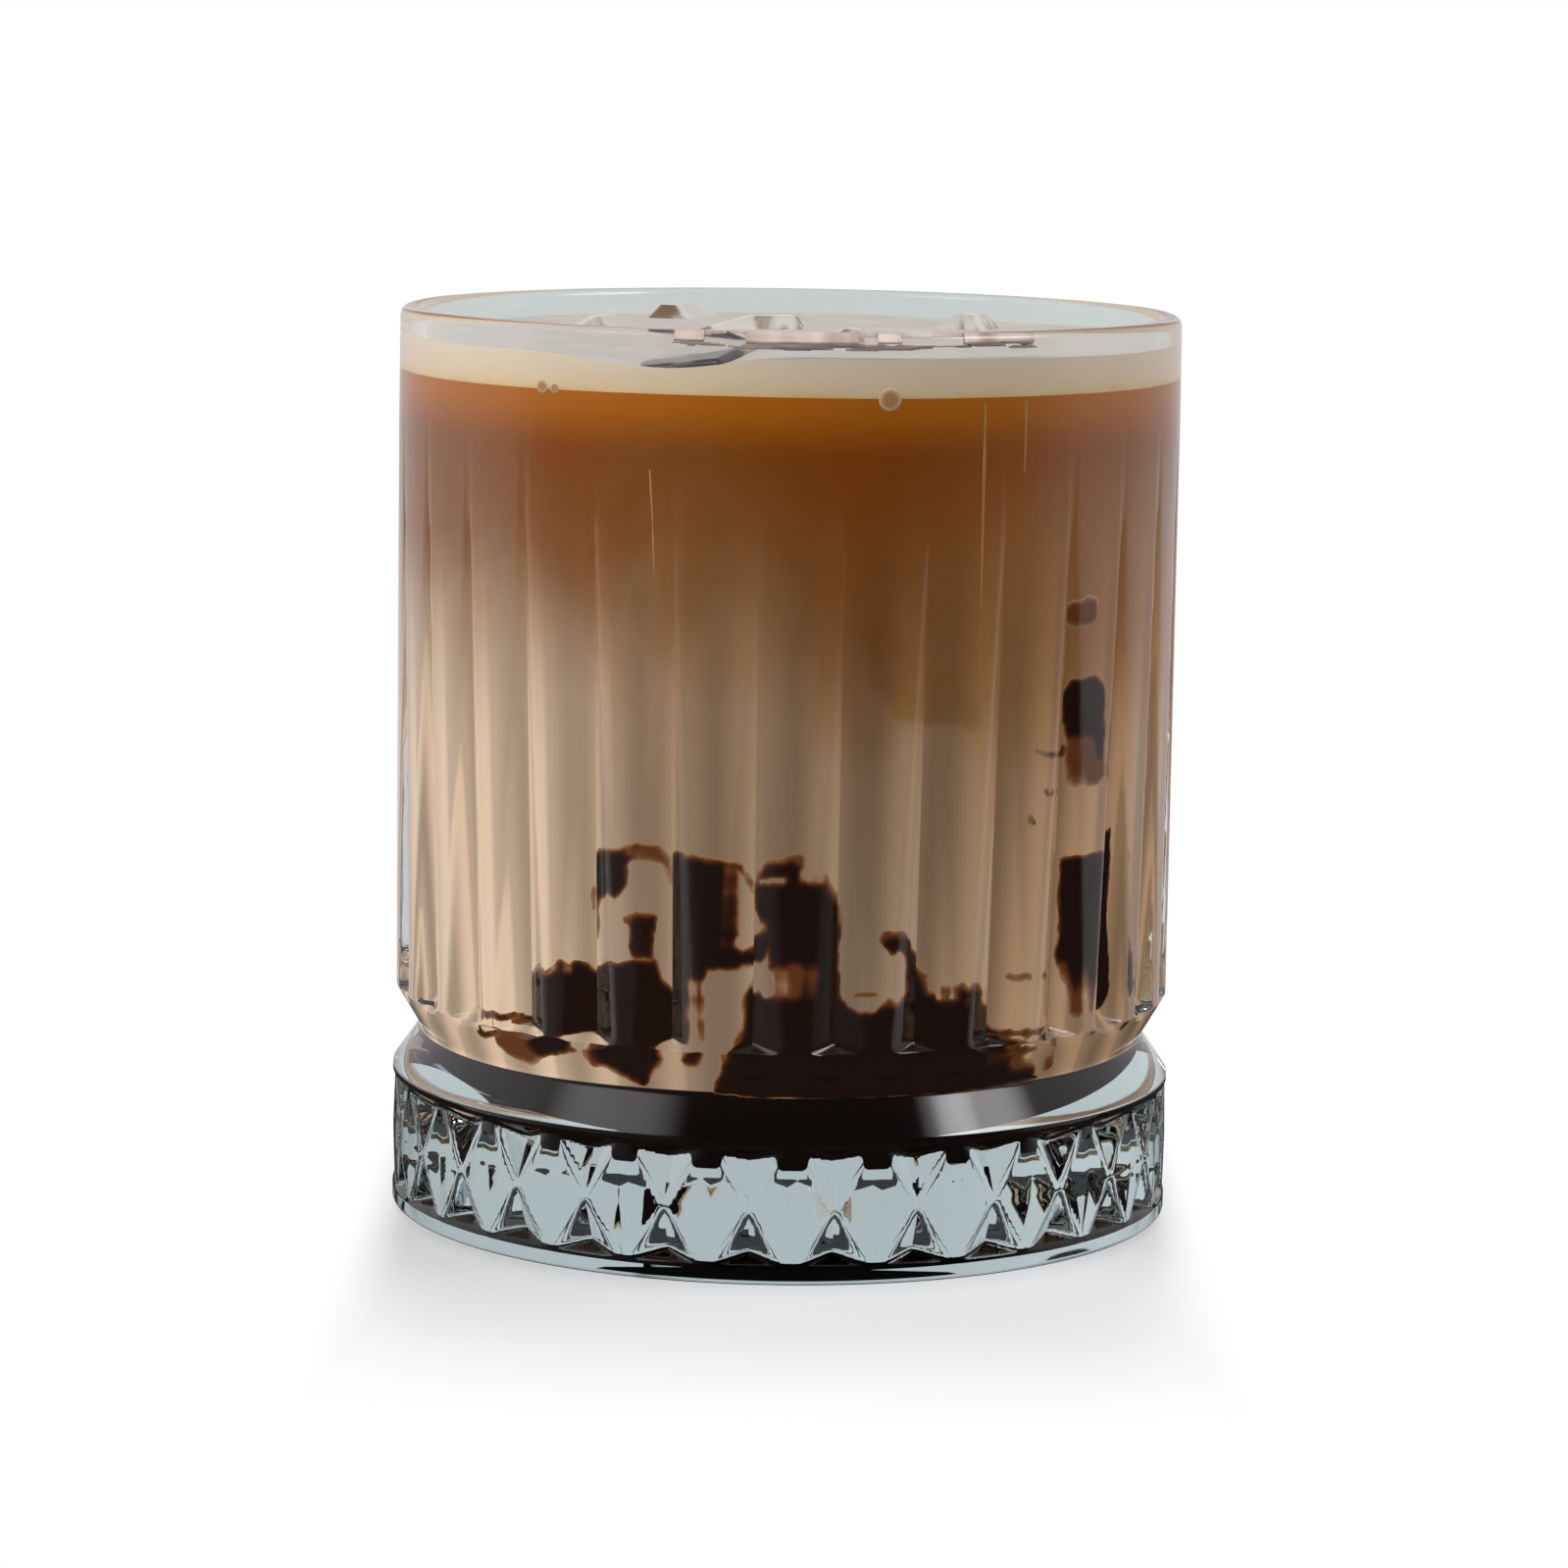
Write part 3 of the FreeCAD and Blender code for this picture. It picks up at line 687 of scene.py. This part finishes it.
def place_on_glass():
    """Height in mm, and angle from the front in degrees."""
    group, _, out = new_group("place_on_glass", [], ["Height", "Angle"])
    spot = add(group, "ShaderNodeTexCoord").outputs["Object"]
    parts = add(group, "ShaderNodeSeparateXYZ", {"Vector": spot})
    forward = work(group, "MULTIPLY", parts.outputs["Y"], -1.0)
    turn = work(group, "ARCTAN2", parts.outputs["X"], forward)
    group.links.new(work(group, "DIVIDE", parts.outputs["Z"], MM), out.inputs["Height"])
    group.links.new(work(group, "DEGREES", turn), out.inputs["Angle"])
    return group


def flute_light():
    """Brightness that the flutes throw on what stands behind them: dim behind
    one flank and bright behind the other, more so lower down."""
    group, taken, out = new_group("flute_light", [("Strength", 0.25)], ["Light"])
    spot = placed(group, "place")
    turned = work(group, "SUBTRACT", spot.outputs["Angle"], PATTERN_TURN)
    across = work(group, "WRAP", work(group, "DIVIDE", turned, PITCH), 1.0, 0.0)
    fall = carried(group, across, 0.0, 0.12, 1.0, 0.35)
    dim = carried(group, across, 0.12, 0.42, 0.0, -0.35)
    rise = carried(group, across, 0.45, 0.95, 0.0, 1.0)
    swing = work(group, "ADD", work(group, "ADD", fall, dim), rise)
    centred = work(group, "MULTIPLY", work(group, "SUBTRACT", swing, 0.5), 2.0)
    fade = carried(group, spot.outputs["Height"], FLUTE_TOP, 45.0)
    strength = work(group, "MULTIPLY", taken.outputs["Strength"], fade)
    light = work(group, "ADD", work(group, "MULTIPLY", centred, strength), 1.0)
    group.links.new(light, out.inputs["Light"])
    return group


def clouds():
    """Soft drifting clouds where milk and coffee mix."""
    group, taken, out = new_group("clouds", [("Size", 90.0), ("Stretch", 0.5)], ["Cloud"])
    spot = add(group, "ShaderNodeTexCoord").outputs["Object"]
    squash = add(group, "ShaderNodeCombineXYZ", {
        "X": 1.0, "Y": 1.0, "Z": taken.outputs["Stretch"]})
    moved = add(group, "ShaderNodeVectorMath", {0: spot, 1: squash.outputs[0]},
                operation="MULTIPLY")
    noise = add(group, "ShaderNodeTexNoise", {
        "Vector": moved.outputs[0], "Scale": taken.outputs["Size"], "Detail": 3.0,
        "Roughness": 0.5, "Distortion": 0.8})
    group.links.new(noise.outputs["Fac"], out.inputs["Cloud"])
    return group


# -------------------------------------------------------------- materials
def join_shaders(tree, mix, first, second):
    tree.links.new(first.outputs[0], mix.inputs[1])
    tree.links.new(second.outputs[0], mix.inputs[2])


def lets_light_in(tree, body, tint):
    """body for what is seen, and a plain clear shader for light on its way to
    a matt surface, so that what is in the glass is lit evenly."""
    passing = add(tree, "ShaderNodeBsdfTransparent", {"Color": tint})
    path = add(tree, "ShaderNodeLightPath")
    either = work(tree, "MAXIMUM", path.outputs["Is Shadow Ray"], path.outputs["Is Diffuse Ray"])
    mix = add(tree, "ShaderNodeMixShader", {0: either})
    join_shaders(tree, mix, body, passing)
    return mix


def matt(tree, output, colour, roughness=0.6, specular=0.0):
    """Plain surface that shows its colour. What lies against glass has no gloss."""
    body = add(tree, "ShaderNodeBsdfPrincipled", {
        "Base Color": colour, "Roughness": roughness, "Specular IOR Level": specular})
    tree.links.new(body.outputs[0], output.inputs["Surface"])


def film_depth(tree):
    """Thickness of a film, kept in its mesh; on a bubble it holds a painted rim highlight
    instead.
    """
    return add(tree, "ShaderNodeAttribute", attribute_name="thickness").outputs["Fac"]


def pressed_glass():
    """Thick clear glass, faintly blue-grey where light crosses much of it."""
    material, tree, output = new_material("pressed_glass")
    body = add(tree, "ShaderNodeBsdfPrincipled", {
        "Base Color": (1, 1, 1, 1), "Roughness": 0.0, "IOR": 1.5, "Transmission Weight": 1.0})
    mix = lets_light_in(tree, body, (0.97, 0.975, 0.975, 1))
    tree.links.new(mix.outputs[0], output.inputs["Surface"])
    tint = add(tree, "ShaderNodeVolumeAbsorption", {
        "Color": (0.85, 0.90, 0.922, 1), "Density": 25.0})
    tree.links.new(tint.outputs[0], output.inputs["Volume"])
    return material


def milky_coffee():
    """Coffee, cloudy milk and what lies between, by height."""
    material, tree, output = new_material("milky_coffee")
    spot = placed(tree, "place")
    cloud = placed(tree, "clouds", {"Size": 70.0, "Stretch": 0.45}).outputs["Cloud"]
    drift = work(tree, "MULTIPLY", work(tree, "SUBTRACT", cloud, 0.5), 26.0)
    tilt = work(tree, "MULTIPLY", spot.outputs["Angle"], 0.10)
    height = work(tree, "ADD", work(tree, "ADD", spot.outputs["Height"], drift), tilt)
    colour = ramp(tree, work(tree, "DIVIDE", height, 100.0), [
        (0.30, (0.38, 0.255, 0.165)), (0.50, (0.37, 0.235, 0.140)),
        (0.55, (0.363, 0.222, 0.128)), (0.60, (0.31, 0.170, 0.080)),
        (0.65, (0.25, 0.112, 0.042)), (0.70, (0.22, 0.082, 0.022)),
        (0.80, (0.21, 0.060, 0.007)), (0.84, (0.22, 0.052, 0.004))])
    # Close under the foam the coffee is clearer and more orange.
    orange = carried(tree, spot.outputs["Height"], 83.0, 89.5)
    colour = blend(tree, orange, colour, (0.42, 0.120, 0.006))
    # Painted light from the left: the left side is paler low down. The right side is made
    # lighter too, more so lower down.
    left = work(tree, "MULTIPLY", carried(tree, spot.outputs["Angle"], -15.0, -42.0),
                carried(tree, spot.outputs["Height"], 76.0, 50.0))
    colour = blend(tree, work(tree, "MULTIPLY", left, 0.75), colour, (0.66, 0.48, 0.33))
    right = work(tree, "MULTIPLY", carried(tree, spot.outputs["Angle"], 14.0, 38.0),
                 carried(tree, spot.outputs["Height"], 90.0, 70.0, 0.2, 1.0))
    colour = blend(tree, work(tree, "MULTIPLY", right, 0.34), colour, (0.50, 0.27, 0.11))
    # A brown swirl where coffee sinks into the milk.
    aside = work(tree, "DIVIDE", work(tree, "SUBTRACT", spot.outputs["Angle"], 23.5), 8.0)
    above = work(tree, "DIVIDE", work(tree, "SUBTRACT", height, 63.0), 5.0)
    away = work(tree, "ADD", work(tree, "MULTIPLY", aside, aside),
                work(tree, "MULTIPLY", above, above))
    swirl = carried(tree, away, 1.1, 0.6, 0.0, 0.55)
    colour = blend(tree, swirl, colour, (0.27, 0.125, 0.035))
    light = placed(tree, "flutes", {"Strength": 0.32}).outputs["Light"]
    lit = add(tree, "ShaderNodeVectorMath", {0: colour, "Scale": light}, operation="SCALE")
    matt(tree, output, lit.outputs[0])
    return material


def cream_foam():
    """Cream against the glass, with painted shade: faces that point up are a darker grey."""
    material, tree, output = new_material("cream_foam")
    spot = placed(tree, "place")
    cloud = placed(tree, "clouds", {"Size": 160.0, "Stretch": 2.0}).outputs["Cloud"]
    drift = work(tree, "MULTIPLY", work(tree, "SUBTRACT", cloud, 0.5), 1.6)
    height = work(tree, "ADD", spot.outputs["Height"], drift)
    side = ramp(tree, work(tree, "DIVIDE", height, 100.0), [
        (0.893, (0.66, 0.42, 0.18)), (0.902, (0.70, 0.53, 0.33)), (0.915, (0.72, 0.57, 0.41)),
        (0.930, (0.73, 0.60, 0.45))])
    # Painted shade: faces that point up take the darker grey top colour, against the strong
    # light from above.
    facing = add(tree, "ShaderNodeNewGeometry").outputs["Normal"]
    up = add(tree, "ShaderNodeSeparateXYZ", {"Vector": facing}).outputs["Z"]
    above = carried(tree, up, 0.3, 0.9)
    top = blend(tree, cloud, (0.27, 0.25, 0.225), (0.37, 0.35, 0.32))
    matt(tree, output, blend(tree, above, side, top), 0.7, 0.1)
    return material


def dark_syrup():
    material, tree, output = new_material("dark_syrup")
    matt(tree, output, (0.006, 0.003, 0.002, 1), 0.4)
    return material


def smeared_syrup():
    """Amber where it is thin, nearly black where it is thick."""
    material, tree, output = new_material("smeared_syrup")
    matt(tree, output, ramp(tree, film_depth(tree), [
        (0.0, (0.34, 0.20, 0.11)), (0.12, (0.21, 0.085, 0.030)),
        (0.28, (0.125, 0.038, 0.011)), (0.55, (0.046, 0.013, 0.005)),
        (0.85, (0.020, 0.007, 0.004)), (1.0, (0.013, 0.005, 0.003))]))
    return material


def rim_coffee():
    """Dried coffee, pale where it is thin."""
    material, tree, output = new_material("rim_coffee")
    matt(tree, output, blend(tree, film_depth(tree), (0.52, 0.43, 0.38), (0.16, 0.09, 0.07)))
    return material


def milk_and_painted_rim_highlight():
    """Thin milk and bubbles. A bubble's pale edge is a painted highlight."""
    material, tree, output = new_material("milk_and_painted_rim_highlight")
    matt(tree, output, blend(tree, film_depth(tree), (0.40, 0.205, 0.085), (0.58, 0.40, 0.25)))
    return material


def wet_ice(name, pale, brown, balance, foam_from=None):
    """Cloudy wet ice, brown in soft clouds and browner on faces that point down. Where
    foam_from is given, foam covers it from that place in Y on."""
    material, tree, output = new_material(name)
    stain = placed(tree, "clouds", {"Size": 170.0, "Stretch": 0.8}).outputs["Cloud"]
    spot = add(tree, "ShaderNodeNewGeometry")
    up = add(tree, "ShaderNodeSeparateXYZ", {"Vector": spot.outputs["Normal"]}).outputs["Z"]
    # Faces that point down are made browner.
    lower = carried(tree, up, 0.85, 0.2)
    stained = carried(tree, work(tree, "ADD", stain, work(tree, "MULTIPLY", lower, 0.18)),
                      balance, balance + 0.16)
    colour, roughness = blend(tree, stained, pale, brown), 0.12
    if foam_from is not None:
        place = add(tree, "ShaderNodeSeparateXYZ", {"Vector": spot.outputs["Position"]})
        ragged = work(tree, "ADD", place.outputs["Y"], work(tree, "MULTIPLY", stain, 0.004))
        covered = carried(tree, ragged, foam_from, foam_from + 0.0015)
        colour = blend(tree, covered, colour, (0.36, 0.33, 0.30))
        roughness = carried(tree, covered, 0, 1, 0.12, 0.6)
    body = add(tree, "ShaderNodeBsdfPrincipled", {
        "Base Color": colour, "IOR": 1.31, "Roughness": roughness,
        "Transmission Weight": 0.3})
    mix = lets_light_in(tree, body, (0.8, 0.8, 0.8, 1))
    tree.links.new(mix.outputs[0], output.inputs["Surface"])
    return material


# ----------------------------------------------------------------- studio
TABLE_RADIUS, TABLE_CORNERS = 0.10, 96
TABLE_GAP = 0.05                   # mm of air, as under real glass


def table():
    """Small glossy white table. Only the patch in front of the glass is seen
    as it is, with the glass's soft reflection. The rest melts into the white."""
    turns = [math.tau * i / TABLE_CORNERS for i in range(TABLE_CORNERS)]
    ring = [(TABLE_RADIUS * math.cos(turn), TABLE_RADIUS * math.sin(turn), 0)
            for turn in turns]
    mesh = bpy.data.meshes.new("table")
    mesh.from_pydata(ring, [], [tuple(range(TABLE_CORNERS))])
    top = bpy.data.objects.new("table", mesh)
    top.location.z = -TABLE_GAP * MM
    bpy.context.collection.objects.link(top)
    material, tree, output = new_material("white_table")
    gloss = add(tree, "ShaderNodeBsdfPrincipled", {
        "Base Color": (0.60, 0.61, 0.61, 1), "Roughness": 0.35})
    spot = add(tree, "ShaderNodeTexCoord").outputs["Object"]
    parts = add(tree, "ShaderNodeSeparateXYZ", {"Vector": spot})
    beside = carried(tree, work(tree, "ABSOLUTE", parts.outputs["X"]), 0.0385, 0.0455)
    front = carried(tree, parts.outputs["Y"], -0.055, -0.098)
    back = carried(tree, parts.outputs["Y"], 0.0, 0.03)
    fade = work(tree, "MAXIMUM", work(tree, "MAXIMUM", beside, front), back)
    path = add(tree, "ShaderNodeLightPath")
    # The glass mirrors a dim table, as dim as the room in front.
    dim = add(tree, "ShaderNodeEmission", {"Color": (1, 1, 1, 1), "Strength": 0.05})
    mirrored = add(tree, "ShaderNodeMixShader", {0: path.outputs["Is Glossy Ray"]})
    join_shaders(tree, mirrored, gloss, dim)
    seen = work(tree, "MULTIPLY", fade, path.outputs["Is Camera Ray"])
    white = add(tree, "ShaderNodeEmission", {"Color": (1, 1, 1, 1), "Strength": 1.0})
    mix = add(tree, "ShaderNodeMixShader", {0: seen})
    join_shaders(tree, mix, mirrored, white)
    tree.links.new(mix.outputs[0], output.inputs["Surface"])
    paint(top, material)


# Windows that show as soft highlights: direction, spread in degrees between
# full and nothing, and brightness.
WINDOWS = [((-0.58, -0.24, 0.77), 4, 19, 1.9),
           ((0.67, -0.12, 0.72), 3, 17, 5.0),
           ((0.60, -0.20, 0.75), 1, 7, 4.0)]
LEAST_THROUGH = 0.40           # the room's least light for rays through glass


def studio_light():
    """White for the camera. Everything else sees a white backdrop behind, a dark
    room in front, a lighter left side, and soft windows high up at both sides."""
    world = bpy.data.worlds.new("studio")
    bpy.context.scene.world = world
    world.use_nodes = True
    tree = world.node_tree
    tree.nodes.clear()
    output = add(tree, "ShaderNodeOutputWorld")
    seen = add(tree, "ShaderNodeLightPath").outputs["Is Camera Ray"]
    way = add(tree, "ShaderNodeTexCoord").outputs["Generated"]
    parts = add(tree, "ShaderNodeSeparateXYZ", {"Vector": way})
    behind = carried(tree, parts.outputs["Y"], -0.45, 0.15, 0.04, 0.64)
    left = carried(tree, parts.outputs["X"], -0.2, -1.0, 0.0, 0.20)
    strength = work(tree, "MINIMUM", work(tree, "ADD", behind, left), 1.0)
    for aim, full, none, bright in WINDOWS:
        near = add(tree, "ShaderNodeVectorMath", {0: way, 1: Vector(aim).normalized()},
                   operation="DOT_PRODUCT").outputs["Value"]
        glow = carried(tree, near, math.cos(math.radians(none)), math.cos(math.radians(full)),
                       0.0, bright)
        strength = work(tree, "ADD", strength, glow)
    # Light that has come through the glass finds the room less dark.
    through = add(tree, "ShaderNodeLightPath").outputs["Is Transmission Ray"]
    strength = work(tree, "MAXIMUM", strength, work(tree, "MULTIPLY", through, LEAST_THROUGH))
    tone = blend(tree, through, (1, 0.97, 1), (0.93, 1.0, 0.985))
    room = add(tree, "ShaderNodeBackground", {"Color": tone, "Strength": strength})
    white = add(tree, "ShaderNodeBackground", {"Color": (1, 1, 1, 1), "Strength": 1.0})
    mix = add(tree, "ShaderNodeMixShader", {0: seen})
    join_shaders(tree, mix, room, white)
    tree.links.new(mix.outputs[0], output.inputs["Surface"])


def softbox(name, spot, size, power):
    """Rectangular lamp that faces the middle of the glass."""
    lamp = bpy.data.lights.new(name, "AREA")
    lamp.shape = "RECTANGLE"
    lamp.size, lamp.size_y = size
    lamp.energy = power
    box = bpy.data.objects.new(name, lamp)
    bpy.context.collection.objects.link(box)
    box.location = spot
    box.visible_glossy = False         # the windows show in the glass instead
    aim = Vector((0, 0, RIM * MM / 2)) - Vector(spot)
    box.rotation_euler = aim.to_track_quat("-Z", "Y").to_euler()


CAMERA_SPOT, CAMERA_LENS = (0, -0.56545, 0.12826), 121.95
CAMERA_DOWN, CAMERA_ROLL = 8.36, 0.9       # degrees


def camera():
    eye = bpy.data.cameras.new("camera")
    eye.sensor_width = 36.0
    eye.lens = CAMERA_LENS
    holder = bpy.data.objects.new("camera", eye)
    bpy.context.collection.objects.link(holder)
    spot = Matrix.Translation(CAMERA_SPOT)
    look = Matrix.Rotation(math.radians(90 - CAMERA_DOWN), 4, "X")
    roll = Matrix.Rotation(math.radians(CAMERA_ROLL), 4, "Z")
    holder.matrix_world = spot @ look @ roll
    bpy.context.scene.camera = holder


# ------------------------------------------------------------------ build
def main():
    GROUPS["place"] = place_on_glass()
    GROUPS["flutes"] = flute_light()
    GROUPS["clouds"] = clouds()
    camera()
    studio_light()
    table()
    softbox("softbox_left", (-0.55, -0.30, 0.85), (0.45, 0.45), 5.0)
    softbox("softbox_right", (0.50, 0.12, 0.75), (0.35, 0.35), 2.9)
    softbox("softbox_front", (-0.25, -0.75, 0.75), (0.5, 0.3), 6.5)
    paint(tumbler(), pressed_glass())
    coffee_look = milky_coffee()
    paint(layer("foam_layer", "foam", ["milk_foam"], COFFEE_SURFACE, FOAM_SURFACE),
          cream_foam())
    paint(layer("coffee_layer", "coffee", ["coffee"], MILK_SURFACE, COFFEE_SURFACE),
          coffee_look)
    paint(layer("milk_layer", "milk", ["milk"], SYRUP_SURFACE, MILK_SURFACE), coffee_look)
    paint(layer("syrup_pool", "syrup", ["chocolate_syrup"], None, SYRUP_SURFACE),
          dark_syrup())
    paint(film("syrup_smears", "syrup", SMEAR_SPAN, SMEAR_CELL, syrup_coat),
          smeared_syrup())
    paint(film("rim_streaks", "coffee", STREAK_SPAN, STREAK_CELL, streak_coat, 0.0),
          rim_coffee())
    pale = milk_and_painted_rim_highlight()
    paint(film("milk_drips", "milk", DRIP_SPAN, DRIP_CELL, drip_coat), pale)
    for i, (angle, height, size) in enumerate(BUBBLES):
        paint(bubble("bubble_%d" % (i + 1), angle, height, size), pale)
    ice = wet_ice("wet_ice", (0.50, 0.48, 0.44), (0.20, 0.12, 0.08), 0.50)
    dark_ice = wet_ice("syrupy_ice", (0.20, 0.165, 0.155), (0.030, 0.020, 0.021), 0.42,
                       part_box("ice_cube_1")[0].y + 0.0075)
    for node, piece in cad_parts.items():
        if node.startswith("ice_cube"):
            paint(piece, dark_ice if node == "ice_cube_1" else ice)
    bpy.context.scene.view_settings.view_transform = "Standard"


main()
